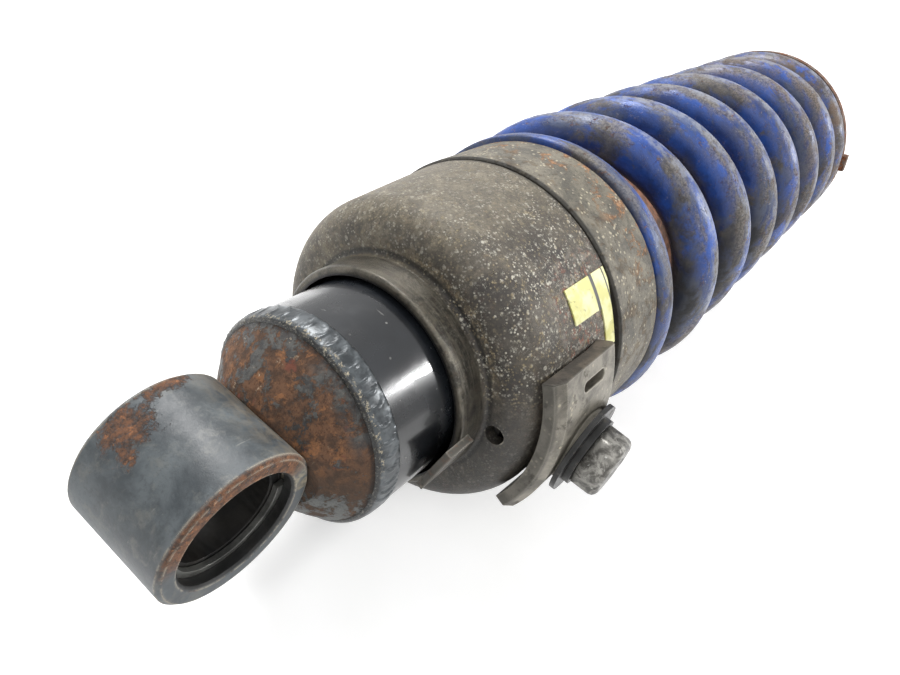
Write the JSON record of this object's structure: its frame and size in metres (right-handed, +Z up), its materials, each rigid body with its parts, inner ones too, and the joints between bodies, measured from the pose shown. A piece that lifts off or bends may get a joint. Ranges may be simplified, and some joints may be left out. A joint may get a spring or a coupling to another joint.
{
  "type": "rear shock absorber",
  "caption": "Coil-over rear shock with a lower eye, turning preload adjuster, open coil spring and sliding rod with an upper eye.",
  "frame": {"origin": "centre of the lower eye's bore", "axes": "+X along the damper from the lower eye to the upper eye, Y along both eyes' bores, +Z up with the shock lying on its side"},
  "size_m": [0.388, 0.0955, 0.0862],
  "materials": {
    "eye_paint": "satin dark paint, rusted at the edges",
    "bush_steel": "dark oily steel",
    "spring_steel": "dark spring steel",
    "rusty_cap": "rust over grey paint",
    "weld_metal": "glossy dark paint over a rippled weld",
    "tube_black": "gloss black",
    "bright_steel": "plain steel",
    "dark_steel": "dark steel",
    "guide_aluminium": "machined",
    "seal_rubber": "matte black rubber",
    "bush_bronze": "bronze",
    "spring_blue": "blue paint, dirty and chipped",
    "bell_alloy": "dark cast metal, dusty and speckled",
    "bracket_steel": "grey weathered steel",
    "black_steel": "black steel",
    "zinc_steel": "dull zinc, mottled",
    "label_yellow": "yellow label",
    "seat_alloy": "weathered metal with rust",
    "rod_chrome": "hard chrome",
    "band_plastic": "bronze-filled plastic",
    "bump_rubber": "microcellular rubber",
    "rusty_steel": "rusty steel",
    "bush_rubber": "black rubber"
  },
  "bodies": {
    "damper": {"lower_eye": "eye_paint", "eye_bush": "bush_steel", "eye_clip_near": "spring_steel", "eye_clip_far": "spring_steel", "end_cap": "rusty_cap", "weld_bead": "weld_metal", "damper_tube": "tube_black", "seat_key": "bright_steel", "stop_collar": "dark_steel", "rod_guide": "guide_aluminium", "guide_o_ring": "seal_rubber", "guide_bush": "bush_bronze", "oil_seal": "seal_rubber", "guide_clip": "spring_steel", "dust_cap": "guide_aluminium", "dust_wiper": "seal_rubber", "coil_spring": "spring_blue"},
    "floating_piston": {"floating_piston": "guide_aluminium", "floating_piston_ring": "seal_rubber"},
    "adjuster": {"adjuster_bell": "bell_alloy", "adjuster_hub": "dark_steel", "adjuster_bracket": "bracket_steel", "washer_wide": "black_steel", "washer_narrow": "black_steel", "bracket_bolt": "zinc_steel", "bracket_nut": "zinc_steel", "adjuster_ear": "bracket_steel", "index_label": "label_yellow"},
    "spring_seat": {"spring_seat_ring": "seat_alloy"},
    "rod": {"piston_rod": "rod_chrome", "piston": "guide_aluminium", "piston_band": "band_plastic", "compression_shims": "spring_steel", "rebound_shims": "spring_steel", "piston_nut": "bright_steel", "top_out_ring": "bump_rubber", "bump_stop": "bump_rubber", "bump_stop_cup": "dark_steel", "far_spring_seat": "rusty_steel", "upper_eye": "eye_paint", "upper_bush": "bush_rubber"},
    "upper_sleeve": {"upper_sleeve": "bright_steel"}
  },
  "joints": [
    {"name": "rod_slide", "type": "slide", "parent": "damper", "child": "rod", "axis": [-1, 0, 0], "range_m": [0, 0.055], "stiffness_N_per_m": 90000, "springref_m": -0.004, "deforming": ["coil_spring"]},
    {"name": "gas_piston_slide", "type": "slide", "parent": "damper", "child": "floating_piston", "axis": [-1, 0, 0], "range_m": [0, 0.0088]},
    {"name": "adjuster_turn", "type": "hinge", "parent": "damper", "child": "adjuster", "pos_m": [0.06, 0, 0], "axis": [-1, 0, 0], "range_deg": [0, 100]},
    {"name": "seat_slide", "type": "slide", "parent": "damper", "child": "spring_seat", "axis": [1, 0, 0], "range_m": [0, 0.0036]},
    {"name": "sleeve_turn", "type": "hinge", "parent": "rod", "child": "upper_sleeve", "pos_m": [0.356, 0, 0], "axis": [0, 1, 0], "range_deg": [-8, 8], "stiffness_Nm_per_rad": 15}
  ],
  "couplings": [
    {"joint": "gas_piston_slide", "follows": "rod_slide", "ratio": 0.16},
    {"joint": "seat_slide", "follows": "adjuster_turn", "m_per_rad": 0.0020054}
  ]
}
